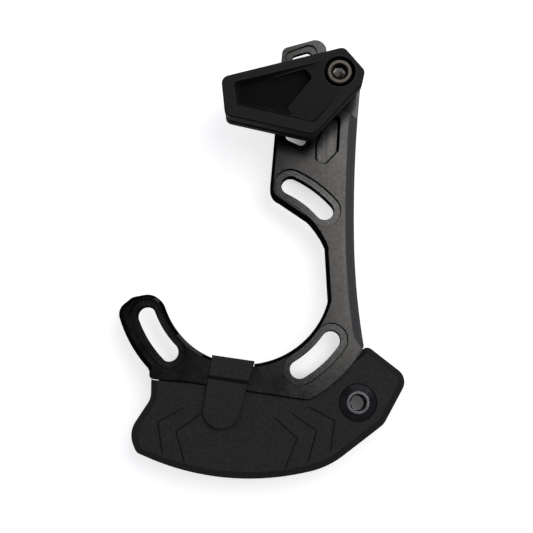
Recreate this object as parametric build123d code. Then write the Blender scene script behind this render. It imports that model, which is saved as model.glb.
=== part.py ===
from build123d import *
import math
import os

# A chain guide with an impact guard, for the three-tab bottom bracket pattern.
# X points to the front of the bicycle, Z up, and the chainring lies outboard, at -Y.
# The origin is on the bottom bracket axis, in the plane of the mounting pads.
# All lengths are millimetres, all angles degrees. A height is a distance outboard of that plane.

# Mounting pattern: three slots on the pitch circle of the frame's tabs.
PITCH_CIRCLE = 73.0
SLOT_ANGLES = (52.5, 212.5, 312.5)
SLOT_SPREAD = 23.6
MOUNT_SCREW = 6.0
MOUNT_SCREW_PLAY = 0.5
LEDGE_WIDTH = 2.4
LEDGE_DEPTH = 1.2
PAD_WIDTH = 3.6

# Backplate, a milled aluminium plate.
PLATE_FRONT = 6.0
BACK_RELIEF = 0.8
BORE_RADIUS = 29.7
BORE_FLATS = ((55.5, 28.9), (2.9, 28.2))
ARM_RADIUS = 45.5
ARM_END_ANGLE = 189.3
ARM_ROOT_ANGLE = 225.0
ARM_CUT_ANGLE = 129.7
ARM_CUT_SHARE = 0.44
ARM_INNER_SHARE = 0.38
ARM_OUTER_SHARE = 0.28
RIM_CORNER_ANGLE = 224.2
RIM_CORNER_DROP = 2.9
RIM_CORNER_RADIUS = 1.4
EDGE_CHAMFER = 1.1
EDGE_CHAMFER_TOP = 50.0
ARM_CHAMFER = 1.6
SIDE_CHAMFER_WIDTH = 3.1
SIDE_CHAMFER_DEPTH = 1.5
PLATFORM_STEP = 1.6
PLATFORM_CORNER = (39.4, 56.9)
PLATFORM_ANGLE = 146.6

# Tongue of the plate, which carries the guard.
TONGUE_FRONT = 3.2
TONGUE_REACH = 5.0
LUG_RADIUS = 8.5
GUARD_BOLT_X = 38.5
GUARD_BOLT_Z = -42.7

# Track of the upper guide: an arc slot in the mast with a recess on both faces.
TRACK_FRONT_X = 21.5
TRACK_Z = 68.3
TRACK_RADIUS = 45.0
TRACK_START = -26.0
TRACK_END = 16.8
TRACK_WIDTH = 7.6
TRACK_CORNER = 1.8
RECESS_MARGIN = 1.95
RECESS_FLOOR = 3.6
LAND_BACK = 1.5
SLIDE_GAP = 0.25

# Milled pocket beside the track.
LOZENGE_FLOOR = 3.2
LOZENGE_DRAFT = 14.0

# Impact guard, moulded nylon.
GUARD_FRONT = 5.2
GUARD_BACK = -4.0
GUARD_GAP = 0.3
GUARD_BEVEL_WIDTH = 2.2
GUARD_BEVEL_DEPTH = 1.3
GROOVE_GAP = 0.15
CORE_INNER = 55.5
CORE_OUTER = 63.5
CORE_ROOF = 2.4
CORE_COUNT = 7
CORE_FIRST = -119.0
CORE_LAST = -61.0
CORE_RIB = 2.0
CORE_CORNER = 0.8

# Chevrons engraved in the guard's face: polar angles of their points, and their reach.
CHEVRON_POINTS = (-121.0, -114.0, -72.0, -65.0, -58.0)
CHEVRON_SWEEP = 6.0
CHEVRON_INNER = 49.0
CHEVRON_OUTER = 66.0
CHEVRON_WIDTH = 0.35
CHEVRON_DEPTH = 0.3

# Hook strap of the guard, which snaps over the plate's inner edge.
STRAP_ANGLE = -8.3
STRAP_LEFT = (-11.1, -26.6)
STRAP_TOP_WIDTH = 14.5
STRAP_END = (-8.0, -45.3)
STRAP_END_RADIUS = 6.2
STRAP_FRONT = 7.4
STRAP_LOW_FRONT = 6.5
STRAP_SLOPE_START = 6.9
STRAP_SLOPE_END = 8.1
STRAP_LIFT = 0.1
STRAP_ROOT = 10.9
HOOK_LIP = 1.65
HOOK_TOE = 5.0
TOE_THICKNESS = 1.1
HOOK_GAP = 0.15

# Hollow guard bolt and its sleeve nut.
BARREL_HEAD_RADIUS = 6.3
BARREL_RING_RADIUS = 3.8
BARREL_RING_HOLE = 3.0
BARREL_HEAD_RIM = 0.4
BARREL_HEAD_RISE = 1.6
BARREL_SINK = 0.6
BARREL_SHANK = 4.0
BARREL_LENGTH = 7.6
BARREL_HEX = 5.0
BARREL_HEX_DEPTH = 5.0
BARREL_BORE = 2.5
SLEEVE_RADIUS = 5.0
SLEEVE_GAP = 0.15
SLEEVE_FLANGE = 6.5
SLEEVE_FLANGE_THICKNESS = 1.4
SLEEVE_NOTCH = 2.0
THREAD_GAP = 0.05

# Upper guide: two nylon cheeks with the chain between them.
CHEEK_GAP = 0.2
INNER_THICKNESS = 3.0
CHAIN_WIDTH = 7.6
OUTER_THICKNESS = 5.2
INNER_SHIFT = (-0.5, 1.6)
CEILING_RADIUS = 70.0
ROOF_THICKNESS = 2.0
CHEEK_EDGE = 0.5
MOUTH_CHAMFER = 0.8
LOCATOR_WIDTH = 1.0
LOCATOR_HEIGHT = 0.8
LOCATOR_GAP = 0.1
WINDOW_DEPTH = 3.9
PANEL_TOP = (28.2, 72.7)
PANEL_BOTTOM = (33.4, 61.7)
PANEL_SLOPE = 8.4
STUD_RADIUS = 1.7
STUD_HEIGHT = 1.0
STUD_POINT = (11.8, 55.2)

# Guide bolt, its brass insert, and the clamp screw with its sliding nut.
GUIDE_BOLT_X = 32.4
GUIDE_BOLT_Z = 68.6
GUIDE_BOLT_RADIUS = 2.5
GUIDE_HEAD_RADIUS = 4.25
GUIDE_HEAD_HEIGHT = 3.3
GUIDE_HEAD_CHAMFER = 0.3
COUNTERBORE_RADIUS = 5.4
COUNTERBORE_DEPTH = 3.4
BOLT_HOLE_PLAY = 0.25
GUIDE_BOLT_LENGTH = 8.0
GUIDE_HEX = 4.0
GUIDE_HEX_DEPTH = 2.5
GUIDE_HEX_MOUTH = 2.6
GUIDE_DRILL_RADIUS = 1.9
GUIDE_DRILL_POINT = 1.1
INSERT_RADIUS = 3.5
INSERT_LENGTH = 6.4
CLAMP_ANGLE = -4.6
CLAMP_RADIUS = 2.5
CLAMP_HEAD_RADIUS = 4.25
CLAMP_HEAD_HEIGHT = 2.6
CLAMP_HEX = 3.0
CLAMP_HEX_DEPTH = 1.7
CLAMP_SEAT = 2.7
NUT_KEY_HALF = 7.6
NUT_FLANGE_HALF = 9.5
NUT_FLANGE_WIDTH = 10.8
NUT_FLANGE_THICKNESS = 1.2
NUT_KEY_STOP = 0.3
RAIL_HALF = 10.0

# Outlines, as corners (x, z, corner radius) in the order they are passed.
SIDE_BENDS = ((37.9, 42.3, 480.0), (37.9, -2.0, 248.0))
SIDE_ENDS = ((41.62, 76.0, 0.0), (40.34, -20.5, 8.0), (60.0, -48.5, 0.0))
MAST_AND_RIM = (
    (13.1, 83.0, 2.5),
    (28.85, 87.4, 4.0),
    (28.85, 79.0, 2.0),
    (41.05, 70.8, 2.0),
    *SIDE_BENDS,
    (40.75, -23.6, 1.4),
    (33.75, -35.0, 47.1),
    (21.7, -41.8, 4.0),
    (-19.6, -35.6, 40.0),
)
MAST_FOOT_X = 9.0
MAST_FOOT_REACH = 9.7
MAST_FOOT_RADIUS = 5.0
ARM_ROOT_RADIUS = 2.0
TONGUE = (
    (39.0, -27.0, 1.0),
    (47.0, -38.0, 6.0),
    (40.0, -49.0, 8.0),
    (20.5, -47.5, 4.0),
    (-19.4, -40.8, 20.0),
    (-29.6, -39.6, 2.0),
    (-29.6, -32.0, 1.0),
)
LOZENGE = (
    (24.3, 41.6, 1.6),
    (24.2, 48.0, 8.0),
    (27.2, 55.0, 4.0),
    (28.6, 60.2, 1.5),
    (33.8, 57.0, 1.5),
    (33.0, 44.9, 2.0),
    (28.0, 39.7, 1.5),
)
GUARD = (
    (-32.2, -28.0, 2.5),
    (-32.2, -41.2, 6.0),
    (-39.8, -52.8, 8.4),
    (-36.9, -59.5, 3.0),
    (-7.9, -71.95, 88.0),
    (28.0, -64.6, 30.0),
    (47.3, -50.0, 7.0),
    (56.0, -34.3, 5.0),
    (42.1, -23.4, 2.4),
    (37.0, -26.6, 6.0),
    (20.0, -37.0, 4.0),
    (-19.0, -30.0, 20.0),
)
CHEEK = (
    (-7.9, 66.8, 2.8),
    (34.0, 77.3, 2.5),
    (41.0, 68.9, 2.5),
    (39.9, 63.9, 3.0),
    (23.5, 46.4, 3.0),
    (-6.5, 53.4, 3.0),
)
WINDOW_RIM = (
    (-3.6, 65.0, 1.2),
    (30.4, 73.2, 1.0),
    (34.0, 62.4, 1.0),
    (23.8, 50.5, 1.6),
    (-2.5, 56.7, 1.2),
)
WINDOW_FLOOR = (
    (-1.0, 64.6, 1.0),
    (29.0, 71.8, 1.0),
    (31.5, 63.0, 1.0),
    (22.6, 53.2, 1.4),
    (-1.0, 58.9, 1.0),
)
DEEP_POCKET = (
    (-1.0, 64.6, 1.0),
    (20.8, 70.0, 1.6),
    (23.4, 66.9, 1.6),
    (13.8, 55.4, 0.3),
    (-1.0, 58.9, 1.0),
)

# Values that follow from the ones above.
pitch_radius = PITCH_CIRCLE / 2
slot_width = MOUNT_SCREW + MOUNT_SCREW_PLAY
platform_top = PLATE_FRONT - PLATFORM_STEP
track_mid = (TRACK_START + TRACK_END) / 2
track_x = TRACK_FRONT_X - TRACK_RADIUS
recess_width = TRACK_WIDTH + 2 * RECESS_MARGIN
recess_extra = math.degrees(RECESS_MARGIN / TRACK_RADIUS)
inner_back = PLATE_FRONT + CHEEK_GAP
inner_front = inner_back + INNER_THICKNESS
outer_back = inner_front + CHAIN_WIDTH
outer_front = outer_back + OUTER_THICKNESS
barrel_seat = GUARD_FRONT - BARREL_SINK
barrel_top = barrel_seat + BARREL_HEAD_RISE
guide_seat = outer_front - COUNTERBORE_DEPTH
clamp_seat = inner_front - CLAMP_SEAT
nut_back = LAND_BACK - NUT_FLANGE_THICKNESS
nut_front = RECESS_FLOOR - NUT_KEY_STOP
clamp_x = track_x + TRACK_RADIUS * math.cos(math.radians(CLAMP_ANGLE))
clamp_z = TRACK_Z + TRACK_RADIUS * math.sin(math.radians(CLAMP_ANGLE))
PAST = 1.0


def level(height):
    """Sketch plane parallel to the pads, this far outboard of them."""
    return Plane.XZ.offset(height)


def slab(outline, bottom, top, draft=0.0):
    """Solid of a flat outline between two heights."""
    return extrude(level(bottom) * outline, top - bottom, taper=draft)


def rounded(corners):
    """Closed outline through (x, z, radius) corners, each rounded by an arc."""
    bends = []
    for index, (x, z, radius) in enumerate(corners):
        corner = Vector(x, z)
        back = (Vector(*corners[index - 1][:2]) - corner).normalized()
        ahead = (Vector(*corners[(index + 1) % len(corners)][:2]) - corner).normalized()
        half = math.radians(back.get_angle(ahead)) / 2
        reach = radius / math.tan(half)
        sag = (back + ahead).normalized() * (radius / math.sin(half) - radius)
        bends.append((corner + back * reach, corner + sag, corner + ahead * reach))
    edges = []
    for index, (start, middle, end) in enumerate(bends):
        edges.append(Line(bends[index - 1][2], start))
        if corners[index][2] > 0:
            edges.append(ThreePointArc(start, middle, end))
    return Sketch() + make_face(Curve() + edges)


def polar(radius, angle):
    """Point at a distance and an angle from the bottom bracket axis."""
    turn = math.radians(angle)
    return (radius * math.cos(turn), radius * math.sin(turn))


def disc(x, z, radius):
    """Round outline about a point."""
    return Pos(x, z) * Circle(radius)


def ring_sector(centre, inner, outer, start, end):
    """Part of a ring between two angles, with straight ends."""
    sweep = end - start
    outside = CenterArc(centre, outer, start, sweep)
    inside = CenterArc(centre, inner, start, sweep)
    sides = (Line(outside @ 0, inside @ 0), Line(outside @ 1, inside @ 1))
    return Sketch() + make_face(Curve() + [outside, inside, *sides])


def mount_slot(angle, width):
    """Round-ended slot on the pitch circle."""
    middle = CenterArc((0, 0), pitch_radius, angle - SLOT_SPREAD / 2, SLOT_SPREAD)
    return SlotArc(middle, width)


def pad_outline(angle):
    """Raised pad behind a slot: a piece of a ring that reaches past it on every side."""
    half = slot_width / 2 + PAD_WIDTH
    end = SLOT_SPREAD / 2 + math.degrees(half / pitch_radius)
    return ring_sector((0, 0), pitch_radius - half, pitch_radius + half, angle - end, angle + end)


def track_shape(width, start, end, corner=TRACK_CORNER):
    """Outline that follows the guide's track, with rounded corners."""
    half = width / 2
    shape = ring_sector((track_x, TRACK_Z), TRACK_RADIUS - half, TRACK_RADIUS + half, start, end)
    return fillet(shape.vertices(), corner)


def half_plane(angle, distance):
    """Large rectangle beyond a line with this normal angle and distance from the axis."""
    size = 400
    return Rot(0, 0, angle) * Pos(distance + size / 2, 0) * Rectangle(size, size)


def hex_socket(x, z, flats, top, depth):
    """Cutter for a hexagon socket that opens outboard."""
    outline = Pos(x, z) * RegularPolygon(flats / 2, 6, major_radius=False)
    return slab(outline, top - depth, top + PAST)


def spun(x, z, profile):
    """Turned solid about an axis along Y through (x, z), from (radius, height) corners."""
    section = Plane.XY * make_face(Polyline(*[(r, -h) for r, h in profile], close=True))
    return Pos(x, 0, z) * revolve(section, Axis.Y)


def edge_waste(outline, front, width, depth):
    """What a bevel takes off the front edge of a slab that ends at this height."""
    angle = math.degrees(math.atan2(width, depth))
    return slab(outline, front - depth, front) - slab(outline, front - depth, front, angle)


# Backplate

def bore_outline():
    """The opening around the bottom bracket, round with two flats."""
    outline = Sketch() + Circle(BORE_RADIUS)
    for angle, distance in BORE_FLATS:
        outline -= half_plane(angle, distance)
    return outline


def corner_near(outline, x, z):
    """The corner of an outline that lies nearest to a point."""
    return outline.vertices().sort_by_distance(Vector(x, z))[0]


def arm_outline(root_angle=ARM_ROOT_ANGLE):
    """The arm around the opening, its end cut aslant and rounded."""
    width = ARM_RADIUS - BORE_RADIUS
    arm = ring_sector((0, 0), BORE_RADIUS, ARM_RADIUS, ARM_END_ANGLE, root_angle)
    arm -= half_plane(ARM_CUT_ANGLE, ARM_CUT_SHARE * ARM_RADIUS)
    arm = fillet(corner_near(arm, *polar(BORE_RADIUS, ARM_END_ANGLE)), ARM_INNER_SHARE * width)
    cut = arm.vertices().sort_by_distance(Vector(*polar(ARM_RADIUS, ARM_END_ANGLE)))[:2]
    return fillet(cut, ARM_OUTER_SHARE * width)


def mast_outline():
    """The mast and the rim below the opening, without the arm."""
    angle, distance = BORE_FLATS[0]
    flat_x, flat_z = polar(distance, angle)
    reach_x, reach_z = polar(MAST_FOOT_REACH, angle + 90)
    root_x, root_z = polar(ARM_RADIUS, RIM_CORNER_ANGLE)
    inside_x, inside_z = polar(BORE_RADIUS / 2, RIM_CORNER_ANGLE)
    closing = (
        (root_x, root_z - RIM_CORNER_DROP, RIM_CORNER_RADIUS),
        (root_x, root_z + RIM_CORNER_DROP, 0.0),
        (inside_x, inside_z, 0.0),
        (flat_x, flat_z, 0.0),
        (flat_x + reach_x, flat_z + reach_z, MAST_FOOT_RADIUS),
    )
    return rounded(MAST_AND_RIM + closing) - bore_outline()


def plate_outline():
    """Front outline of the whole plate."""
    outline = mast_outline() + arm_outline()
    root = corner_near(outline, *polar(ARM_RADIUS, RIM_CORNER_ANGLE))
    return fillet(root, ARM_ROOT_RADIUS)


def tongue_outline():
    """The thinner edge of the plate that sits inside the guard, with the bolt lug."""
    return rounded(TONGUE) + disc(GUARD_BOLT_X, GUARD_BOLT_Z, LUG_RADIUS)


def strap_frame():
    """Location at the strap's upper left corner, X along its top edge."""
    return Pos(*STRAP_LEFT) * Rot(0, 0, STRAP_ANGLE)


def hook_seat():
    """Notch in the plate's inner edge, and the pocket behind it for the toe."""
    width = STRAP_TOP_WIDTH + 2 * HOOK_GAP
    lip = HOOK_LIP + HOOK_GAP
    toe = HOOK_TOE + 2 * HOOK_GAP
    notch = strap_frame() * Pos(STRAP_TOP_WIDTH / 2, -lip) * Rectangle(
        width, lip + PAST, align=(Align.CENTER, Align.MIN))
    pocket = strap_frame() * Pos(STRAP_TOP_WIDTH / 2, -toe) * Rectangle(
        width, toe + PAST, align=(Align.CENTER, Align.MIN))
    through = slab(notch, -PAST, PLATE_FRONT + PAST)
    return through + slab(pocket, -PAST, BACK_RELIEF + TOE_THICKNESS + HOOK_GAP)


def side_bevel():
    """Cutter for the wide bevel along the mast's front side, a prism that leans outwards."""
    top, turn, bottom = SIDE_ENDS
    region = rounded((top, *SIDE_BENDS, turn, bottom, (bottom[0], top[1], 0.0)))
    start = level(PLATE_FRONT) * Pos(-SIDE_CHAMFER_WIDTH, 0) * region
    lean = Vector(SIDE_CHAMFER_WIDTH, SIDE_CHAMFER_DEPTH, 0)
    return extrude(start, lean.length, dir=lean)


def chamfer_waste():
    """What the chamfers take off the front edges of the opening, the arm and the mast's foot."""
    start = ARM_END_ANGLE - 90
    arm = arm_outline(ARM_ROOT_ANGLE + 15)
    arm_inside = ring_sector((0, 0), 1, pitch_radius, start, ARM_ROOT_ANGLE)
    arm_outside = ring_sector((0, 0), pitch_radius, 2 * ARM_RADIUS, start, RIM_CORNER_ANGLE)
    rim_inside = ring_sector((0, 0), 1, pitch_radius, ARM_ROOT_ANGLE, start + 360)
    mast_edge = Pos(MAST_FOOT_X, 0) * Rectangle(
        4 * MAST_FOOT_RADIUS, EDGE_CHAMFER_TOP, align=(Align.CENTER, Align.MIN))
    waste = []
    for outline, width, area in (
        (arm, EDGE_CHAMFER, arm_inside),
        (arm, ARM_CHAMFER, arm_outside),
        (mast_outline(), EDGE_CHAMFER, rim_inside + mast_edge),
    ):
        waste.append(edge_waste(outline, PLATE_FRONT, width, width) & slab(area, 0, PLATE_FRONT))
    return waste


def make_backplate():
    outline = plate_outline()
    blank = slab(outline, BACK_RELIEF, PLATE_FRONT) - chamfer_waste()
    blank -= side_bevel()
    step = Pos(*PLATFORM_CORNER) * Rot(0, 0, PLATFORM_ANGLE) * Rectangle(
        120, 60, align=(Align.CENTER, Align.MAX))
    plate = blank - slab(step, platform_top, PLATE_FRONT + PAST)
    plate += slab(tongue_outline(), BACK_RELIEF, TONGUE_FRONT)
    for angle in SLOT_ANGLES:
        plate += slab(pad_outline(angle) & outline, 0, BACK_RELIEF)
    for angle in SLOT_ANGLES:
        ledge = mount_slot(angle, slot_width + 2 * LEDGE_WIDTH)
        plate -= slab(mount_slot(angle, slot_width), -PAST, PLATE_FRONT)
        plate -= slab(ledge, PLATE_FRONT - LEDGE_DEPTH, PLATE_FRONT + PAST)
    recess = track_shape(recess_width, TRACK_START - recess_extra, TRACK_END + recess_extra, 2.6)
    plate -= slab(recess, RECESS_FLOOR, PLATE_FRONT + PAST)
    plate -= slab(track_shape(TRACK_WIDTH, TRACK_START, TRACK_END), -PAST, PLATE_FRONT)
    plate -= slab(recess, -PAST, LAND_BACK)
    plate -= slab(rounded(LOZENGE), PLATE_FRONT + PAST, LOZENGE_FLOOR, LOZENGE_DRAFT)
    plate -= hook_seat()
    sleeve_hole = disc(GUARD_BOLT_X, GUARD_BOLT_Z, SLEEVE_RADIUS + SLEEVE_GAP)
    return plate - slab(sleeve_hole, -PAST, PLATE_FRONT)


# Impact guard

def strap_outline():
    """Front view of the strap: a straight top and sides that run into a round end."""
    left = Vector(*STRAP_LEFT)
    along = Vector(1, 0).rotate(Axis.Z, STRAP_ANGLE)
    top = Line(left, left + along * STRAP_TOP_WIDTH)
    return Sketch() + make_hull([top, *disc(*STRAP_END, STRAP_END_RADIUS).edges()])


def make_strap():
    """The strap from its side, with the hook, cut to its front outline."""
    toe_front = BACK_RELIEF + TOE_THICKNESS
    underside = PLATE_FRONT + STRAP_LIFT
    reach = 40
    side = (
        (0, STRAP_FRONT),
        (STRAP_SLOPE_START, STRAP_FRONT),
        (STRAP_SLOPE_END, STRAP_LOW_FRONT),
        (reach, STRAP_LOW_FRONT),
        (reach, GUARD_FRONT - 1),
        (STRAP_ROOT, GUARD_FRONT - 1),
        (STRAP_ROOT, underside),
        (HOOK_LIP, underside),
        (HOOK_LIP, toe_front),
        (HOOK_TOE, toe_front),
        (HOOK_TOE, BACK_RELIEF),
        (0, BACK_RELIEF),
    )
    profile = make_face(Polyline(*[(-h, -s) for s, h in side], close=True))
    turned = Pos(STRAP_LEFT[0], 0, STRAP_LEFT[1]) * Rot(0, -STRAP_ANGLE, 0) * Rot(0, 0, 90)
    band = turned * extrude(Plane.XZ * profile, 60, both=True)
    return band & slab(strap_outline(), 0, STRAP_FRONT + PAST)


def chevron_lines():
    """Engraved chevrons that point away from the guard's middle."""
    lines = []
    for point in CHEVRON_POINTS:
        tail = point + math.copysign(CHEVRON_SWEEP, -90 - point)
        ends = (
            polar(CHEVRON_INNER, tail),
            polar((CHEVRON_INNER + CHEVRON_OUTER) / 2, point),
            polar(CHEVRON_OUTER, tail),
        )
        lines.append(trace(Polyline(*ends), CHEVRON_WIDTH))
    return Sketch() + lines


def make_bash_guard():
    outline = rounded(GUARD)
    blank = slab(outline, GUARD_BACK, GUARD_FRONT)
    blank -= edge_waste(outline, GUARD_FRONT, GUARD_BEVEL_WIDTH, GUARD_BEVEL_DEPTH)
    nest = offset(plate_outline(), GUARD_GAP)
    guard = blank - slab(nest, GUARD_BACK - PAST, GUARD_FRONT + PAST)
    groove = offset(tongue_outline(), GUARD_GAP)
    guard -= slab(groove, BACK_RELIEF - GROOVE_GAP, TONGUE_FRONT + GROOVE_GAP)
    step = (CORE_LAST - CORE_FIRST) / CORE_COUNT
    rib = math.degrees(CORE_RIB / CORE_OUTER)
    for index in range(CORE_COUNT):
        start = CORE_FIRST + index * step
        core = ring_sector((0, 0), CORE_INNER, CORE_OUTER, start + rib / 2, start + step - rib / 2)
        guard -= slab(chamfer(core.vertices(), CORE_CORNER), GUARD_BACK - PAST, CORE_ROOF)
    guard -= slab(chevron_lines(), GUARD_FRONT - CHEVRON_DEPTH, GUARD_FRONT)
    guard += make_strap()
    bore = disc(GUARD_BOLT_X, GUARD_BOLT_Z, SLEEVE_RADIUS + SLEEVE_GAP)
    seat = disc(GUARD_BOLT_X, GUARD_BOLT_Z, BARREL_HEAD_RADIUS + SLEEVE_GAP)
    guard -= slab(bore, GUARD_BACK - PAST, GUARD_FRONT + PAST)
    return guard - slab(seat, barrel_seat, GUARD_FRONT + PAST)


# Fasteners

def make_bash_bolt():
    tip = barrel_seat - BARREL_LENGTH
    profile = (
        (BARREL_BORE, tip),
        (BARREL_SHANK - THREAD_GAP, tip),
        (BARREL_SHANK - THREAD_GAP, barrel_seat),
        (BARREL_HEAD_RADIUS, barrel_seat),
        (BARREL_HEAD_RADIUS, barrel_seat + BARREL_HEAD_RIM),
        (BARREL_RING_RADIUS, barrel_top),
        (BARREL_RING_HOLE, barrel_top),
        (BARREL_BORE, barrel_top - BARREL_RING_HOLE + BARREL_BORE),
    )
    bolt = spun(GUARD_BOLT_X, GUARD_BOLT_Z, profile)
    return bolt - hex_socket(GUARD_BOLT_X, GUARD_BOLT_Z, BARREL_HEX, barrel_top, BARREL_HEX_DEPTH)


def make_bash_nut():
    flange_back = GUARD_BACK - SLEEVE_FLANGE_THICKNESS
    sleeve_top = barrel_seat - GUARD_GAP
    profile = (
        (BARREL_SHANK, flange_back),
        (SLEEVE_FLANGE - GUIDE_HEAD_CHAMFER, flange_back),
        (SLEEVE_FLANGE, flange_back + GUIDE_HEAD_CHAMFER),
        (SLEEVE_FLANGE, GUARD_BACK),
        (SLEEVE_RADIUS, GUARD_BACK),
        (SLEEVE_RADIUS, sleeve_top),
        (BARREL_SHANK, sleeve_top),
    )
    nut = spun(GUARD_BOLT_X, GUARD_BOLT_Z, profile)
    notch = Pos(GUARD_BOLT_X, GUARD_BOLT_Z) * Rectangle(4 * SLEEVE_FLANGE, SLEEVE_NOTCH)
    return nut - slab(notch, flange_back - PAST, flange_back + SLEEVE_FLANGE_THICKNESS / 2)


def make_guide_bolt():
    top = guide_seat + GUIDE_HEAD_HEIGHT
    tip = guide_seat - GUIDE_BOLT_LENGTH
    mouth = GUIDE_HEX_MOUTH
    profile = (
        (0, tip),
        (GUIDE_BOLT_RADIUS - THREAD_GAP, tip),
        (GUIDE_BOLT_RADIUS - THREAD_GAP, guide_seat),
        (GUIDE_HEAD_RADIUS, guide_seat),
        (GUIDE_HEAD_RADIUS, top - GUIDE_HEAD_CHAMFER),
        (GUIDE_HEAD_RADIUS - GUIDE_HEAD_CHAMFER, top),
        (mouth, top),
        (0, top - mouth / 2),
    )
    bolt = spun(GUIDE_BOLT_X, GUIDE_BOLT_Z, profile)
    floor = top - GUIDE_HEX_DEPTH
    drilled = (
        (0, floor - GUIDE_DRILL_POINT),
        (GUIDE_DRILL_RADIUS, floor),
        (GUIDE_DRILL_RADIUS, top),
        (0, top),
    )
    bolt -= spun(GUIDE_BOLT_X, GUIDE_BOLT_Z, drilled)
    return bolt - hex_socket(GUIDE_BOLT_X, GUIDE_BOLT_Z, GUIDE_HEX, top, GUIDE_HEX_DEPTH)


def make_guide_insert():
    """Brass sleeve that carries the guide bolt's thread, pressed into the spacer."""
    top = outer_back - THREAD_GAP
    profile = (
        (GUIDE_BOLT_RADIUS, top - INSERT_LENGTH),
        (INSERT_RADIUS, top - INSERT_LENGTH),
        (INSERT_RADIUS, top),
        (GUIDE_BOLT_RADIUS, top),
    )
    return spun(GUIDE_BOLT_X, GUIDE_BOLT_Z, profile)


def make_clamp_screw():
    top = clamp_seat + CLAMP_HEAD_HEIGHT
    profile = (
        (0, nut_back + NUT_KEY_STOP),
        (CLAMP_RADIUS - THREAD_GAP, nut_back + NUT_KEY_STOP),
        (CLAMP_RADIUS - THREAD_GAP, clamp_seat),
        (CLAMP_HEAD_RADIUS, clamp_seat),
        (CLAMP_HEAD_RADIUS, top - GUIDE_HEAD_CHAMFER),
        (CLAMP_HEAD_RADIUS - GUIDE_HEAD_CHAMFER, top),
        (0, top),
    )
    screw = spun(clamp_x, clamp_z, profile)
    return screw - hex_socket(clamp_x, clamp_z, CLAMP_HEX, top, CLAMP_HEX_DEPTH)


def make_slider_nut():
    """Curved nut: a flange behind the land and a key that fills the slot."""
    flange = track_shape(NUT_FLANGE_WIDTH, CLAMP_ANGLE - NUT_FLANGE_HALF, CLAMP_ANGLE + NUT_FLANGE_HALF)
    key = track_shape(
        TRACK_WIDTH - 2 * SLIDE_GAP, CLAMP_ANGLE - NUT_KEY_HALF, CLAMP_ANGLE + NUT_KEY_HALF)
    nut = slab(flange, nut_back, LAND_BACK) + slab(key, LAND_BACK, nut_front)
    return nut - slab(disc(clamp_x, clamp_z, CLAMP_RADIUS), -PAST, PLATE_FRONT)


# Upper guide

def inner_outline():
    """The inner cheek: the outer one's outline, with its lower edges raised clear of the ring."""
    outline = rounded(CHEEK)
    return outline & (Pos(*INNER_SHIFT) * outline)


def spacer_outline():
    """Solid between the cheeks: above the chain's arc, and a roof along the top edge."""
    outline = inner_outline()
    above = outline - disc(0, 0, CEILING_RADIUS)
    angle = math.degrees(math.atan2(CHEEK[1][1] - CHEEK[0][1], CHEEK[1][0] - CHEEK[0][0]))
    strip = Pos(CHEEK[0][0], CHEEK[0][1]) * Rot(0, 0, angle) * Rectangle(
        120, 2 * ROOF_THICKNESS)
    return above + (outline & strip)


def locator_outline(gap):
    """Straight key on the roof that stops the outer cheek from turning."""
    angle = math.degrees(math.atan2(CHEEK[1][1] - CHEEK[0][1], CHEEK[1][0] - CHEEK[0][0]))
    start = Pos(CHEEK[0][0], CHEEK[0][1]) * Rot(0, 0, angle)
    return start * Pos(17, -ROOF_THICKNESS / 2 - 0.15) * Rectangle(18 + gap, LOCATOR_WIDTH + gap)


def make_guide_inner():
    cheek = slab(inner_outline(), inner_back, inner_front)
    spacer = slab(spacer_outline(), inner_front, outer_back)
    rail = track_shape(
        recess_width - 2 * SLIDE_GAP, CLAMP_ANGLE - RAIL_HALF, CLAMP_ANGLE + RAIL_HALF, 2.4)
    cheek += spacer
    cheek += slab(rail, RECESS_FLOOR, inner_back)
    cheek += slab(locator_outline(0), outer_back, outer_back + LOCATOR_HEIGHT)
    cheek -= slab(disc(clamp_x, clamp_z, CLAMP_RADIUS + BOLT_HOLE_PLAY), 0, inner_front)
    cheek -= slab(disc(clamp_x, clamp_z, CLAMP_HEAD_RADIUS + BOLT_HOLE_PLAY), clamp_seat, outer_back)
    insert_floor = outer_back - THREAD_GAP - INSERT_LENGTH
    insert_hole = disc(GUIDE_BOLT_X, GUIDE_BOLT_Z, INSERT_RADIUS)
    return cheek - slab(insert_hole, insert_floor, outer_back + PAST)


def panel_cutter():
    """Everything in front of the sloping panel that falls away from the bolt."""
    run_x = PANEL_TOP[0] - PANEL_BOTTOM[0]
    run_z = PANEL_TOP[1] - PANEL_BOTTOM[1]
    angle = math.degrees(math.atan2(run_z, run_x))
    size = 60
    wedge = Polyline((0, 0), (size, 0), (size, -size * math.tan(math.radians(PANEL_SLOPE))), close=True)
    profile = Plane.XZ * make_face(wedge)
    return (
        Pos(PANEL_BOTTOM[0], -outer_front, PANEL_BOTTOM[1])
        * Rot(0, -angle - 90, 0)
        * Rot(90, 0, 0)
        * extrude(profile, 2 * size, both=True)
    )


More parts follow.
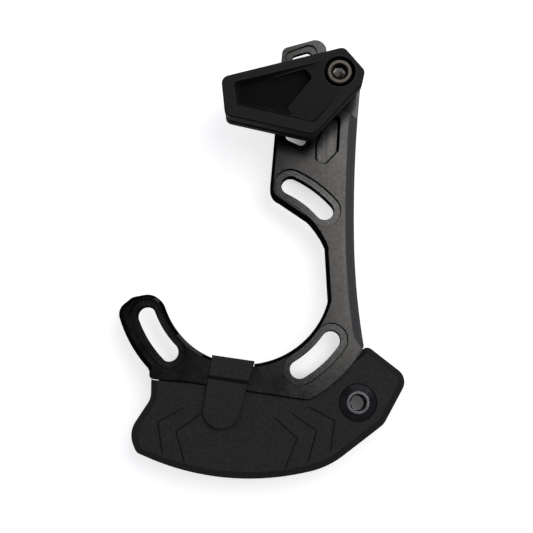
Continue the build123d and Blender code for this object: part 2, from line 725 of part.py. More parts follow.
def make_guide_outer():
    outline = rounded(CHEEK)
    cheek = slab(outline, outer_back, outer_front)
    cheek -= edge_waste(outline, outer_front, CHEEK_EDGE, CHEEK_EDGE)
    floor = outer_front - WINDOW_DEPTH
    window = loft([level(outer_front) * rounded(WINDOW_RIM), level(floor) * rounded(WINDOW_FLOOR)])
    pocket = slab(rounded(DEEP_POCKET), floor, outer_front) & window
    cheek -= window & panel_cutter()
    cheek -= pocket
    cheek += slab(disc(*STUD_POINT, STUD_RADIUS), floor - PAST / 2, floor + STUD_HEIGHT)
    bolt_hole = disc(GUIDE_BOLT_X, GUIDE_BOLT_Z, GUIDE_BOLT_RADIUS + BOLT_HOLE_PLAY)
    counterbore = disc(GUIDE_BOLT_X, GUIDE_BOLT_Z, COUNTERBORE_RADIUS)
    cheek -= slab(bolt_hole, outer_back - PAST, outer_front)
    cheek -= slab(counterbore, guide_seat, outer_front + PAST)
    return cheek - slab(locator_outline(LOCATOR_GAP), outer_back, outer_back + LOCATOR_HEIGHT + LOCATOR_GAP)


def main():
    os.makedirs("parts", exist_ok=True)
    nodes = {
        "backplate": make_backplate,
        "bash_guard": make_bash_guard,
        "bash_bolt": make_bash_bolt,
        "bash_nut": make_bash_nut,
        "guide_inner": make_guide_inner,
        "guide_outer": make_guide_outer,
        "guide_bolt": make_guide_bolt,
        "guide_insert": make_guide_insert,
        "clamp_screw": make_clamp_screw,
        "slider_nut": make_slider_nut,
    }
    for name, make in nodes.items():
        shape = make()
        export_step(shape, f"parts/{name}.step")
        print(name, round(shape.volume, 1))


main()
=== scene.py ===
# %% [markdown]
# # A bicycle chain guide with an impact guard
#
# The solids come ready from the CAD model: a milled plate, a moulded guard, a two-part upper guide and
# their fasteners. This lesson gives each one its finish, sets a studio around them and places a camera.
# Everything is in metres. X points to the front of the bicycle, Z up, and the outer side faces -Y.

# %% Load the frame
import math

import bpy
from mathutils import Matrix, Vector


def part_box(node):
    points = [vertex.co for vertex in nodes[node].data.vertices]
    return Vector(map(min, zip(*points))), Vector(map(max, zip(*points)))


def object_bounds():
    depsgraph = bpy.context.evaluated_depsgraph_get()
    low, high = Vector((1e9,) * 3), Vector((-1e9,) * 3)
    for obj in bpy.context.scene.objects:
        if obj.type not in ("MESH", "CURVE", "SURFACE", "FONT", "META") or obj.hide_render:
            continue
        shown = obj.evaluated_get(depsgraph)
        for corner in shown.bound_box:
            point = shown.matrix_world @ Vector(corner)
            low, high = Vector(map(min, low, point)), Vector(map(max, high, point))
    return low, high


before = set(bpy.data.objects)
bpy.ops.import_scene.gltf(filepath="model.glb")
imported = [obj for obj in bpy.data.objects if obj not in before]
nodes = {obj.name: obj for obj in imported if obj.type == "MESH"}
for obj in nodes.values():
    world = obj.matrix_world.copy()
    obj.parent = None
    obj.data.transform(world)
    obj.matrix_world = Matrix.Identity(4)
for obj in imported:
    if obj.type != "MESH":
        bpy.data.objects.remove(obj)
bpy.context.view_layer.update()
print("nodes:", sorted(nodes))

# %% [markdown]
# ## Helpers
#
# Blender shades in linear light, and colours are easier to choose as the hex values of a screen.
# One function turns the second into the first. Another adds a shader node, with its settings and links.
# Lengths in the patterns are real ones: `per_mm` gives the texture scale whose cells are that wide.
#
# A Mix node keeps a set of sockets for each kind of value, so its sockets are found by number. Noise
# seldom leaves the values between 0.3 and 0.7, so that span is what the patterns stretch.

# %% Helpers
MM = 0.001
SHARE, NUMBER_A, NUMBER_B, COLOUR_A, COLOUR_B = 0, 2, 3, 6, 7
MIXED_NUMBER, MIXED_COLOUR = 0, 2
BLEND = {"data_type": "RGBA"}
TIMES = {"data_type": "RGBA", "blend_type": "MULTIPLY", "Factor": 1.0}
NOISE_SPAN = {"From Min": 0.3, "From Max": 0.7}


def linear(hex_colour):
    """The linear colour of a screen colour such as "2a2a2c", with its alpha."""
    channels = [int(hex_colour[i:i + 2], 16) / 255 for i in (0, 2, 4)]
    return [c / 12.92 if c <= 0.04045 else ((c + 0.055) / 1.055) ** 2.4 for c in channels] + [1.0]


def per_mm(width):
    """Texture scale, in cells per metre, for cells this many millimetres wide."""
    return 1000.0 / width


def add(tree, kind, settings=None, links=None):
    """Adds a node: settings are properties or input values, links are input: output socket."""
    node = tree.nodes.new(kind)
    for name, value in (settings or {}).items():
        if isinstance(name, str) and hasattr(node, name):
            setattr(node, name, value)
        else:
            node.inputs[name].default_value = value
    for name, socket in (links or {}).items():
        tree.links.new(socket, node.inputs[name])
    return node


def start(name):
    """A new material with its tree, its main shader, and the object's own coordinates."""
    material = bpy.data.materials.new(name)
    material.use_nodes = True
    tree = material.node_tree
    shader = tree.nodes["Principled BSDF"]
    place = add(tree, "ShaderNodeTexCoord").outputs["Object"]
    return material, tree, shader, place


# %% [markdown]
# ## Worn and rounded edges
#
# No real edge is sharp: a tenth or two of a millimetre of rounding catches the light as a fine line. The
# bevel node bends the normal close to an edge, and how far it departs from the true normal says how near
# the edge is. That gives the line along an edge, where the plate, the guard and the inner cheek get a dark
# line of painted shade and the outer cheek a pale line of painted highlight, and where handling rubs a
# finish thin. Noise breaks the wear up, because it comes in touches and not as a drawn outline.

# %% Edges
BEVEL_RAYS = 6
STILL_A_FACE = 0.998
FULLY_AN_EDGE = 0.9
WEAR_FADE = 0.2


def soft_edges(tree, radius_mm):
    """A normal that turns round each edge with this radius."""
    return add(tree, "ShaderNodeBevel", {"samples": BEVEL_RAYS, "Radius": radius_mm * MM}).outputs["Normal"]


def edge_line(tree, soft):
    """0 on a face, up to 1 along its edges."""
    true = add(tree, "ShaderNodeNewGeometry").outputs["Normal"]
    alike = add(tree, "ShaderNodeVectorMath", {"operation": "DOT_PRODUCT"}, {0: soft, 1: true})
    edge = add(tree, "ShaderNodeMapRange", {"From Min": STILL_A_FACE, "From Max": FULLY_AN_EDGE},
               {"Value": alike.outputs["Value"]})
    return edge.outputs["Result"]


def edge_wear(tree, place, soft, patch_mm, least):
    """The edges where handling has rubbed them, in patches of this size."""
    patches = add(tree, "ShaderNodeTexNoise", {"Scale": per_mm(patch_mm), "Detail": 4.0}, {"Vector": place})
    broken = add(tree, "ShaderNodeMapRange", {"From Min": least, "From Max": least + WEAR_FADE},
                 {"Value": patches.outputs["Fac"]})
    both = add(tree, "ShaderNodeMath", {"operation": "MULTIPLY"},
               {0: edge_line(tree, soft), 1: broken.outputs["Result"]})
    return both.outputs["Value"]


# %% [markdown]
# ## Black anodised aluminium
#
# The plate is milled from thick sheet, its flats are rubbed smooth, and the whole is anodised black. The
# oxide is a clear porous skin filled with dye, so the eye sees a dark metal with a satin, slightly warm
# sheen on the flats. Walls and chamfers keep the cutter's rougher mark, and their colour is painted nearly
# black by the way they face: painted shade. The wide bevel along the mast, whose normal leans forwards by
# a share of 0.44, is painted a lighter grey: a painted highlight. The bath leaves clouds a few centimetres
# wide and spots of about a millimetre.

# %% Anodised plate: colour
BEVEL_SLOPE = 0.44
BEVEL_SLACK = 0.1
CLOUD_MM = 30
SPOT_MM = 1.1


def facing_y(tree, least, full):
    """0 up to this much of the normal along Y, 1 from the second value on: 1 is a face square to Y."""
    facing = add(tree, "ShaderNodeTexCoord").outputs["Normal"]
    along = add(tree, "ShaderNodeSeparateXYZ", links={"Vector": facing})
    square = add(tree, "ShaderNodeMath", {"operation": "ABSOLUTE"}, {0: along.outputs["Y"]})
    share = add(tree, "ShaderNodeMapRange", {"From Min": least, "From Max": full},
                {"Value": square.outputs["Value"]})
    return share.outputs["Result"]


def anodised_colour(tree, place, flat_smooth_lit_share):
    """Clouded dark grey on the flats, painted shade near black on walls, a painted highlight on the mast
    bevel.
    """
    clouds = add(tree, "ShaderNodeTexNoise", {"Scale": per_mm(CLOUD_MM), "Detail": 4.0}, {"Vector": place})
    tone = add(tree, "ShaderNodeMix", {**BLEND, COLOUR_A: linear("424243"), COLOUR_B: linear("5b5956")},
               {SHARE: clouds.outputs["Fac"]})
    spots = add(tree, "ShaderNodeTexNoise", {"Scale": per_mm(SPOT_MM), "Detail": 3.0}, {"Vector": place})
    strength = add(tree, "ShaderNodeMapRange", {**NOISE_SPAN, "To Min": 0.82, "To Max": 1.16},
                   {"Value": spots.outputs["Fac"]})
    mottled = add(tree, "ShaderNodeMix", TIMES,
                  {COLOUR_A: tone.outputs[MIXED_COLOUR], COLOUR_B: strength.outputs["Result"]})
    # Painted shade and highlight by facing: walls and chamfers near black, the mast bevel a lighter grey.
    normal = add(tree, "ShaderNodeTexCoord").outputs["Normal"]
    front = add(tree, "ShaderNodeSeparateXYZ", links={"Vector": normal}).outputs["X"]
    lit_bevel_share = add(tree, "ShaderNodeMath", {"operation": "COMPARE", 1: BEVEL_SLOPE, 2: BEVEL_SLACK},
                {0: front})
    painted_bevel_highlight = add(tree, "ShaderNodeMix", {**BLEND, COLOUR_A: linear("0f0f10"), COLOUR_B: linear("444445")},
                 {SHARE: lit_bevel_share.outputs["Value"]})
    painted_shade_off_flats = painted_bevel_highlight.outputs[MIXED_COLOUR]
    on_flats = mottled.outputs[MIXED_COLOUR]
    facing_painted_colour = add(tree, "ShaderNodeMix", BLEND, {SHARE: flat_smooth_lit_share, COLOUR_A: painted_shade_off_flats, COLOUR_B: on_flats})
    return facing_painted_colour.outputs[MIXED_COLOUR]


# %% [markdown]
# The ledges round the slots show the rings of the cutter that followed the pitch circle, half a
# millimetre apart. The pocket in the mast shows its straight passes. Both are found by their depth.

# %% Anodised plate: cutter marks
LEDGE_Y = -4.8 * MM
POCKET_Y = -3.2 * MM
DEPTH_SLACK = 0.1 * MM
RING_MM = 0.5
PASS_MM = 1.0
PASS_STRETCH = 0.06


def cutter_marks(tree, place):
    """Height of the marks: rings on the ledges, streaks in the pocket, nothing elsewhere."""
    depth = add(tree, "ShaderNodeSeparateXYZ", links={"Vector": place}).outputs["Y"]
    at_depth = {"operation": "COMPARE", 2: DEPTH_SLACK}
    on_ledge = add(tree, "ShaderNodeMath", {**at_depth, 1: LEDGE_Y}, {0: depth})
    in_pocket = add(tree, "ShaderNodeMath", {**at_depth, 1: POCKET_Y}, {0: depth})
    scaled = {"operation": "MULTIPLY"}
    across = add(tree, "ShaderNodeVectorMath", {**scaled, 1: Vector((1, 0, 1))}, {0: place})
    radius = add(tree, "ShaderNodeVectorMath", {"operation": "LENGTH"}, {0: across.outputs["Vector"]})
    rings = add(tree, "ShaderNodeTexNoise",
                {"noise_dimensions": "1D", "Scale": per_mm(RING_MM), "Detail": 1.0},
                {"W": radius.outputs["Value"]})
    drawn_out = add(tree, "ShaderNodeVectorMath", {**scaled, 1: Vector((1, 1, PASS_STRETCH))}, {0: place})
    passes = add(tree, "ShaderNodeTexNoise", {"Scale": per_mm(PASS_MM), "Detail": 2.0},
                 {"Vector": drawn_out.outputs["Vector"]})
    ringed = add(tree, "ShaderNodeMath", {"operation": "MULTIPLY"},
                 {0: on_ledge.outputs["Value"], 1: rings.outputs["Fac"]})
    streaked = add(tree, "ShaderNodeMath", {"operation": "MULTIPLY"},
                   {0: in_pocket.outputs["Value"], 1: passes.outputs["Fac"]})
    marks = add(tree, "ShaderNodeMath", {"operation": "ADD"},
                {0: ringed.outputs["Value"], 1: streaked.outputs["Value"]})
    return marks.outputs["Value"]


# %% [markdown]
# A dark line of painted shade follows each edge, and only a few touches of wear show the paler metal under
# the dye. The flats are smoother than the walls, with smears about a centimetre wide where a cloth or a hand
# left them more or less glossy.

# %% Anodised plate
METAL_ROUND_MM = 0.12
SHADE_LINE_MM = 0.45
METAL_WEAR_MM = 3.0
SMEAR_MM = 9
PIT_MM = 0.25
WALL_ROUGHNESS = 0.55


def anodised_plate():
    """The plate's material."""
    material, tree, shader, place = start("black anodised aluminium, rubbed flats")
    flat_smooth_lit_share = facing_y(tree, 0.90, 0.98)
    soft = soft_edges(tree, METAL_ROUND_MM)
    marks = cutter_marks(tree, place)
    marked = add(tree, "ShaderNodeMapRange",
                 {"From Min": 0.35, "From Max": 0.65, "To Min": 1.0, "To Max": 1.5}, {"Value": marks})
    colour = add(tree, "ShaderNodeMix", TIMES,
                 {COLOUR_A: anodised_colour(tree, place, flat_smooth_lit_share), COLOUR_B: marked.outputs["Result"]})
    # Painted shade: a dark line along every edge.
    broken = soft_edges(tree, SHADE_LINE_MM)
    painted_edge_line = add(tree, "ShaderNodeMix", {**BLEND, COLOUR_B: linear("0a0a0b")},
                   {SHARE: edge_line(tree, broken), COLOUR_A: colour.outputs[MIXED_COLOUR]})
    touches = edge_wear(tree, place, soft, METAL_WEAR_MM, 0.6)
    worn = add(tree, "ShaderNodeMix", {**BLEND, COLOUR_B: linear("6b6966")},
               {SHARE: touches, COLOUR_A: painted_edge_line.outputs[MIXED_COLOUR]})
    tree.links.new(worn.outputs[MIXED_COLOUR], shader.inputs["Base Color"])
    smears = add(tree, "ShaderNodeTexNoise",
                 {"Scale": per_mm(SMEAR_MM), "Detail": 6.0, "Roughness": 0.62}, {"Vector": place})
    satin = add(tree, "ShaderNodeMapRange", {**NOISE_SPAN, "To Min": 0.18, "To Max": 0.28},
                {"Value": smears.outputs["Fac"]})
    gloss = add(tree, "ShaderNodeMix", {"data_type": "FLOAT", NUMBER_A: WALL_ROUGHNESS},
                {SHARE: flat_smooth_lit_share, NUMBER_B: satin.outputs["Result"]})
    tree.links.new(gloss.outputs[MIXED_NUMBER], shader.inputs["Roughness"])
    shader.inputs["Metallic"].default_value = 1.0
    shader.inputs["Specular Tint"].default_value = linear("1c1c1c")
    pits = add(tree, "ShaderNodeTexNoise", {"Scale": per_mm(PIT_MM), "Detail": 2.0}, {"Vector": place})
    fine = add(tree, "ShaderNodeBump", {"Strength": 0.12, "Distance": 0.02 * MM},
               {"Height": pits.outputs["Fac"], "Normal": soft})
    milled = add(tree, "ShaderNodeBump", {"Strength": 0.5, "Distance": 0.02 * MM},
                 {"Height": marks, "Normal": fine.outputs["Normal"]})
    tree.links.new(milled.outputs["Normal"], shader.inputs["Normal"])
    return material


# %% [markdown]
# ## Moulded nylon
#
# The guard and the guide's cheeks are shown as injection moulded in glass-filled nylon. Spark erosion
# leaves a grain in the steel tool, which the part copies. Real grain is finer than a pixel here, so it is
# drawn 0.6 mm wide. Grain weakens the shine, so the specular level is below its usual half. The sides
# are dragged dull when the part is drawn from the tool, and they are painted near black: painted shade.
# The deep pocket of the outer cheek keeps the coarsest grain, hardly shines at all and is painted darker:
# painted shade. One recipe serves all three parts, with the black of each pellet, the colour painted along
# the edges and the depth where the pocket starts: edges of the guard and the inner cheek sit in black
# lines of painted shade, and edges of the outer cheek carry a pale line of painted highlight.

# %% Moulded nylon
NYLON_ROUND_MM = 0.2
EDGE_PAINT_MM = 0.4
NYLON_WEAR_MM = 4.0
FLOW_MM = 20
GRAIN_MM = 0.6
DULL_ROUGHNESS = 0.95
NYLON_IOR = 1.53
NO_POCKET = 1000.0


def moulded_nylon(name, dark, light, painted_edge_colour, coarse_shaded_beyond_mm=NO_POCKET):
    """Grained nylon between two blacks, painted near black on its sides, with a painted edge line of the
    given colour, and rougher, dull and painted darker inboard of this Y.
    """
    material, tree, shader, place = start(name)
    soft = soft_edges(tree, NYLON_ROUND_MM)
    lit_front_share = facing_y(tree, 0.78, 0.95)
    depth = add(tree, "ShaderNodeSeparateXYZ", links={"Vector": place}).outputs["Y"]
    coarse_shaded = add(tree, "ShaderNodeMath", {"operation": "GREATER_THAN", 1: coarse_shaded_beyond_mm * MM}, {0: depth})
    flow = add(tree, "ShaderNodeTexNoise", {"Scale": per_mm(FLOW_MM), "Detail": 5.0, "Roughness": 0.6},
               {"Vector": place})
    tone = add(tree, "ShaderNodeMix", {**BLEND, COLOUR_A: linear(dark), COLOUR_B: linear(light)},
               {SHARE: flow.outputs["Fac"]})
    grain = add(tree, "ShaderNodeTexNoise", {"Scale": per_mm(GRAIN_MM), "Detail": 4.0, "Roughness": 0.7},
                {"Vector": place})
    fleck = add(tree, "ShaderNodeMapRange", {**NOISE_SPAN, "To Min": 0.3, "To Max": 1.8},
                {"Value": grain.outputs["Fac"]})
    mottled = add(tree, "ShaderNodeMix", TIMES,
                  {COLOUR_A: tone.outputs[MIXED_COLOUR], COLOUR_B: fleck.outputs["Result"]})
    # A painted edge line: black painted shade on the guard and inner cheek, a pale painted highlight on the
    # outer cheek.
    painted_edge_share = edge_line(tree, soft_edges(tree, EDGE_PAINT_MM))
    painted_edge_line = add(tree, "ShaderNodeMix", {**BLEND, COLOUR_B: linear(painted_edge_colour)},
                   {SHARE: painted_edge_share, COLOUR_A: mottled.outputs[MIXED_COLOUR]})
    touches = edge_wear(tree, place, soft, NYLON_WEAR_MM, 0.55)
    rubbed = add(tree, "ShaderNodeMix", {**BLEND, COLOUR_B: linear("2a2b2c")},
                 {SHARE: touches, COLOUR_A: painted_edge_line.outputs[MIXED_COLOUR]})
    # Painted shade: faces not square to Y are painted near black.
    painted_side_shade = add(tree, "ShaderNodeMix", {**BLEND, COLOUR_A: linear("060606")},
                 {SHARE: lit_front_share, COLOUR_B: rubbed.outputs[MIXED_COLOUR]})
    # Painted shade: the deep pocket's colour is darkened.
    painted_pocket_shade = add(tree, "ShaderNodeMix", {**BLEND, "blend_type": "MULTIPLY", COLOUR_B: linear("b3b3b3")},
               {SHARE: coarse_shaded.outputs["Value"], COLOUR_A: painted_side_shade.outputs[MIXED_COLOUR]})
    tree.links.new(painted_pocket_shade.outputs[MIXED_COLOUR], shader.inputs["Base Color"])
    skin = add(tree, "ShaderNodeMapRange", {**NOISE_SPAN, "To Min": 0.5, "To Max": 0.72},
               {"Value": grain.outputs["Fac"]})
    dull = add(tree, "ShaderNodeMath", {"operation": "SUBTRACT", 0: 1.0}, {1: lit_front_share})
    rough = add(tree, "ShaderNodeMath", {"operation": "MAXIMUM"},
                {0: coarse_shaded.outputs["Value"], 1: dull.outputs["Value"]})
    gloss = add(tree, "ShaderNodeMix", {"data_type": "FLOAT", NUMBER_B: DULL_ROUGHNESS},
                {SHARE: rough.outputs["Value"], NUMBER_A: skin.outputs["Result"]})
    tree.links.new(gloss.outputs[MIXED_NUMBER], shader.inputs["Roughness"])
    shader.inputs["IOR"].default_value = NYLON_IOR
    shader.inputs["Specular IOR Level"].default_value = 0.2
    texture = add(tree, "ShaderNodeBump", {"Strength": 0.9, "Distance": 0.2 * MM},
                  {"Height": grain.outputs["Fac"], "Normal": soft})
    tree.links.new(texture.outputs["Normal"], shader.inputs["Normal"])
    return material


# %% [markdown]
# ## Turned and plated metal
#
# The guard's hollow bolt and its nut are turned from aluminium bar and anodised black: the cutter leaves
# rings a fifth of a millimetre apart round the axis, which draw the highlight out. Faces square to Y are
# painted in the lighter colour and cones and other sides in the darker one: painted highlight and painted
# shade. The steel screws carry a bronze-grey plating, and the insert is plain brass. All use the same rings
# about the part's own axis, with a colour and gloss of their own. The sides of the guide bolt's hexagon
# socket are painted dark: painted shade. The drill point at its end is painted pale, partly the colour of
# bare steel and partly a painted highlight.

# %% Turned metal
SOCKET_FLOOR_Y = -19.5
LATHE_MM = 0.2
STAIN_MM = 2.5
GLOSS_SPREAD = 0.06


def turned_metal(name, colour, shaded_cone_colour, roughness, centre, socket_mm=0.0):
    """Metal with rings about an axis (x, z), painted lighter on faces square to Y and darker elsewhere, and
    a socket of this radius, its sides painted dark and its floor pale, where it has one.
    """
    material, tree, shader, place = start(name)
    soft = soft_edges(tree, METAL_ROUND_MM)
    axis = Vector((centre[0], 0, centre[1]))
    from_axis = add(tree, "ShaderNodeVectorMath", {"operation": "SUBTRACT", 1: axis}, {0: place})
    across = add(tree, "ShaderNodeVectorMath", {"operation": "MULTIPLY", 1: Vector((1, 0, 1))},
                 {0: from_axis.outputs["Vector"]})
    radius = add(tree, "ShaderNodeVectorMath", {"operation": "LENGTH"},
                 {0: across.outputs["Vector"]}).outputs["Value"]
    rings = add(tree, "ShaderNodeTexNoise",
                {"noise_dimensions": "1D", "Scale": per_mm(LATHE_MM), "Detail": 2.0}, {"W": radius})
    stain = add(tree, "ShaderNodeTexNoise", {"Scale": per_mm(STAIN_MM), "Detail": 4.0}, {"Vector": place})
    depth = add(tree, "ShaderNodeMapRange", {**NOISE_SPAN, "To Min": 0.8, "To Max": 1.1},
                {"Value": stain.outputs["Fac"]})
    # Painted highlight and shade: faces square to Y take the lighter colour, the rest the darker one.
    tone = add(tree, "ShaderNodeMix", {**BLEND, COLOUR_A: linear(shaded_cone_colour), COLOUR_B: linear(colour)},
               {SHARE: facing_y(tree, 0.97, 0.99)})
    shaded = add(tree, "ShaderNodeMix", TIMES,
                 {COLOUR_A: tone.outputs[MIXED_COLOUR], COLOUR_B: depth.outputs["Result"]})
    height = add(tree, "ShaderNodeSeparateXYZ", links={"Vector": place}).outputs["Y"]
    floor_y = SOCKET_FLOOR_Y * MM
    within = add(tree, "ShaderNodeMath", {"operation": "LESS_THAN", 1: socket_mm * MM}, {0: radius})
    above_floor = add(tree, "ShaderNodeMath", {"operation": "LESS_THAN", 1: floor_y}, {0: height})
    shaded_socket_sides = add(tree, "ShaderNodeMath", {"operation": "MULTIPLY"},
                   {0: above_floor.outputs["Value"], 1: within.outputs["Value"]})
    # Painted shade on the socket's sides.
    painted_socket_shade = add(tree, "ShaderNodeMix", {**BLEND, COLOUR_B: linear("141312")},
                 {SHARE: shaded_socket_sides.outputs["Value"], COLOUR_A: shaded.outputs[MIXED_COLOUR]})
    below = add(tree, "ShaderNodeMath", {"operation": "GREATER_THAN", 1: floor_y}, {0: height})
    on_floor = add(tree, "ShaderNodeMath", {"operation": "MULTIPLY"},
                   {0: below.outputs["Value"], 1: within.outputs["Value"]})
    # The drill point's pale colour is partly bare steel, partly a painted highlight.
    bare_steel_and_highlight = add(tree, "ShaderNodeMix", {**BLEND, COLOUR_B: linear("b9b4ac")},
                  {SHARE: on_floor.outputs["Value"], COLOUR_A: painted_socket_shade.outputs[MIXED_COLOUR]})
    tree.links.new(bare_steel_and_highlight.outputs[MIXED_COLOUR], shader.inputs["Base Color"])
    gloss = add(tree, "ShaderNodeMapRange",
                {"To Min": roughness - GLOSS_SPREAD, "To Max": roughness + GLOSS_SPREAD},
                {"Value": stain.outputs["Fac"]})
    tree.links.new(gloss.outputs["Result"], shader.inputs["Roughness"])
    shader.inputs["Metallic"].default_value = 1.0
    shader.inputs["Specular Tint"].default_value = linear(shaded_cone_colour)
    lathe = add(tree, "ShaderNodeBump", {"Strength": 0.3, "Distance": 0.01 * MM},
                {"Height": rings.outputs["Fac"], "Normal": soft})
    tree.links.new(lathe.outputs["Normal"], shader.inputs["Normal"])
    return material


# %% [markdown]
# ## Dress the solids
#
# Each CAD node keeps its mesh and gets its finish on its own material slots. The turned parts need their
# axis, which is the middle of their box. The slider nut's hole has the clamp screw's axis.

# %% Dress the solids
# Inboard of this depth the pocket is rougher and painted darker: painted shade.
POCKET_GRAIN_SHADE_Y = -19.2
SOCKET_MM = 3.0


def axis_of(node):
    """(x, z) of a turned node's axis."""
    low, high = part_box(node)
    return ((low[0] + high[0]) / 2, (low[2] + high[2]) / 2)


clamp_axis = axis_of("clamp_screw")
# The fourth colour of each nylon is its painted edge line: black painted shade, and on the outer cheek a
# pale painted highlight.
finishes = {
    "backplate": anodised_plate(),
    "bash_guard": moulded_nylon("moulded nylon, charcoal", "1e1e1e", "272727", "040404"),
    "guide_inner": moulded_nylon("moulded nylon, black", "080808", "0e0e0e", "040404"),
    "guide_outer": moulded_nylon("moulded nylon, black, coarse pocket", "0e0e0e", "171717", "38393a",
                                 POCKET_GRAIN_SHADE_Y),
    "bash_bolt": turned_metal("turned aluminium, black anodised", "77787b", "2b2b2d", 0.24,
                              axis_of("bash_bolt")),
    "bash_nut": turned_metal("turned aluminium nut, black anodised", "77787b", "1a1a1c", 0.26,
                             axis_of("bash_nut")),
    "guide_bolt": turned_metal("steel, bronze-grey plated", "534d47", "3c3834", 0.32,
                               axis_of("guide_bolt"), SOCKET_MM),
    "clamp_screw": turned_metal("steel screw, bronze-grey plated", "6e6963", "55504b", 0.34, clamp_axis),
    "slider_nut": turned_metal("steel nut, bronze-grey plated", "6e6963", "55504b", 0.36, clamp_axis),
    "guide_insert": turned_metal("free-cutting brass", "b8924a", "a8843f", 0.32, axis_of("guide_insert")),
}
for name, finish in finishes.items():
    piece = nodes[name]
    for slot in piece.material_slots:
        slot.material = finish
    if not piece.material_slots:
        piece.data.materials.append(finish)
    print(name, "wears", finish.name)

# %% [markdown]
# ## The studio
#
# Four softboxes of half a metre light the part. The strongest in front stands to the right, behind the
# camera, and a weaker one hangs above. Flat faces mirror the dark room behind the camera on their left
# and the edge of the right softbox on their right, so the satin plate rises from near black to a grey.
# A weak softbox on the left softens the shadows, and one behind lights the back for the other views. The
# room is bright all round except for a dark cone behind the camera, where black drapes keep reflections
# off the flats.

# %% World
DARK_ROOM = 0.04
BRIGHT_ROOM = 0.55
DRAPES_END = -0.93
DAYLIGHT_STARTS = -0.5
world = bpy.data.worlds.new("studio")
bpy.context.scene.world = world
world.use_nodes = True
sky = world.node_tree
room = sky.nodes["Background"]
room.inputs["Color"].default_value = linear("f2f5ff")
direction = add(sky, "ShaderNodeTexCoord").outputs["Generated"]
off_axis = add(sky, "ShaderNodeSeparateXYZ", links={"Vector": direction}).outputs["Y"]
room_span = {"From Min": DRAPES_END, "From Max": DAYLIGHT_STARTS, "To Min": DARK_ROOM, "To Max": BRIGHT_ROOM}
daylight = add(sky, "ShaderNodeMapRange", room_span, {"Value": off_axis})
sky.links.new(daylight.outputs["Result"], room.inputs["Strength"])
print("room strength from", DARK_ROOM, "to", BRIGHT_ROOM)

# %% Lamps
SOFTBOX_SIDE = 0.5


def softbox(name, place, target, power):
    """A square lamp at a place, turned to a target."""
    lamp = bpy.data.lights.new(name, "AREA")
    lamp.size = SOFTBOX_SIDE
    lamp.energy = power
    holder = bpy.data.objects.new(name, lamp)
    holder.location = place
    holder.rotation_euler = (Vector(target) - Vector(place)).to_track_quat("-Z", "Y").to_euler()
    bpy.context.scene.collection.objects.link(holder)
    print(name, "gives", power, "W")


softbox("right softbox", (0.30, -0.64, 0.22), (0.02, 0, 0), 2.3)
softbox("top softbox", (0.05, -0.40, 0.60), (0.02, 0, 0), 0.5)
softbox("left softbox", (-0.62, -0.32, 0.0), (0, 0, 0), 0.2)
softbox("rear softbox", (-0.3, 0.6, 0.4), (0, 0, 0), 7.0)

# %% [markdown]
# ## The light table
#
# The picture has a plain white ground with a soft shadow, like a light table's. Here the table stands
# upright, a fifth of a millimetre behind the furthest back face of the part. Its top is matt opal
# acrylic. Part of its white is reflected light, which takes the part's soft shadow, and part is its own
# glow, seen by the camera and in reflections. The glow is dimmed where the sheet sees little of the open
# room, so narrow holes get painted shade: ambient occlusion measures that opening. A sheet seen from
# behind would hide the part, so its back is clear, and it casts no shadow of its own.

# %% Light table: the sheet
TABLE_SIDE = 4.0
CARD_GAP = 0.2 * MM
back_of_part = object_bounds()[1][1]
bpy.ops.mesh.primitive_plane_add(size=TABLE_SIDE, location=(0, back_of_part + CARD_GAP, 0),
                                 rotation=(math.pi / 2, 0, 0))
card = bpy.context.object
card.name = "light_table"
print("light table at y =", round(1000 * card.location.y, 2), "mm")

# %% Light table: its finish
HAZE_MM = 0.8
CARD_GLOW = 0.70
HOLE_GLOW = 0.06
OPEN_REACH = 80 * MM
CLOSED_SHARE = 0.13
OPEN_SHARE = 0.27
card_material, tree, shader, place = start("matt opal acrylic")
haze = add(tree, "ShaderNodeTexNoise", {"Scale": per_mm(HAZE_MM), "Detail": 3.0}, {"Vector": place})
opal = add(tree, "ShaderNodeMapRange", {"To Min": 0.62, "To Max": 0.65}, {"Value": haze.outputs["Fac"]})
tree.links.new(opal.outputs["Result"], shader.inputs["Base Color"])
shader.inputs["Roughness"].default_value = 1.0
shader.inputs["Specular IOR Level"].default_value = 0.0
ray = add(tree, "ShaderNodeLightPath")
looked_at = add(tree, "ShaderNodeMath", {"operation": "ADD"},
                {0: ray.outputs["Is Camera Ray"], 1: ray.outputs["Is Glossy Ray"]})
seen = add(tree, "ShaderNodeMath", {"operation": "ADD"},
           {0: looked_at.outputs["Value"], 1: ray.outputs["Is Transmission Ray"]})
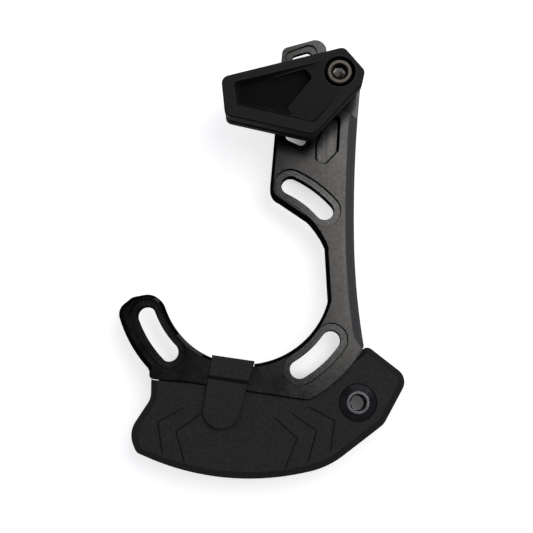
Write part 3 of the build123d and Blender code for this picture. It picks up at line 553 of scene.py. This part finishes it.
# Painted shade: the glow is dimmed inside narrow holes, by how little open room the sheet sees.
open_sky = add(tree, "ShaderNodeAmbientOcclusion", {"samples": 24, "Distance": OPEN_REACH})
glow_with_hole_shade = add(tree, "ShaderNodeMapRange",
               {"From Min": CLOSED_SHARE, "From Max": OPEN_SHARE, "To Min": HOLE_GLOW, "To Max": CARD_GLOW},
               {"Value": open_sky.outputs["AO"]})
lit = add(tree, "ShaderNodeMath", {"operation": "MULTIPLY"},
          {0: seen.outputs["Value"], 1: glow_with_hole_shade.outputs["Result"]})
shader.inputs["Emission Color"].default_value = linear("ffffff")
tree.links.new(lit.outputs["Value"], shader.inputs["Emission Strength"])

# %% Light table: clear from behind
side = add(tree, "ShaderNodeNewGeometry")
clear = add(tree, "ShaderNodeMath", {"operation": "MAXIMUM"},
            {0: side.outputs["Backfacing"], 1: ray.outputs["Is Shadow Ray"]})
nothing = add(tree, "ShaderNodeBsdfTransparent")
one_sided = add(tree, "ShaderNodeMixShader",
                links={"Fac": clear.outputs["Value"], 1: shader.outputs["BSDF"], 2: nothing.outputs["BSDF"]})
tree.links.new(one_sided.outputs["Shader"], tree.nodes["Material Output"].inputs["Surface"])
card.data.materials.append(card_material)
print("light table wears", card_material.name)

# %% [markdown]
# ## The camera
#
# The camera stands in front of the part and a little below its middle, tilted up by about eight degrees.
# Its values were fitted to the three mounting slots and to points along the outline of the photograph.

# %% Camera
EYE = (10.61 * MM, -356.37 * MM, -45.19 * MM)
AIM = (7.39 * MM, -6.0 * MM, 3.99 * MM)
FOCAL_PIXELS = 1022.7
FRAME_PIXELS = 533
lens = bpy.data.cameras.new("camera")
lens.sensor_width = 36.0
lens.lens = FOCAL_PIXELS / FRAME_PIXELS * lens.sensor_width
camera = bpy.data.objects.new("camera", lens)
camera.location = EYE
camera.rotation_euler = (Vector(AIM) - Vector(EYE)).to_track_quat("-Z", "Y").to_euler()
bpy.context.scene.collection.objects.link(camera)
bpy.context.scene.camera = camera
bpy.context.scene.view_settings.view_transform = "Standard"
print("lens", round(lens.lens, 1), "mm")
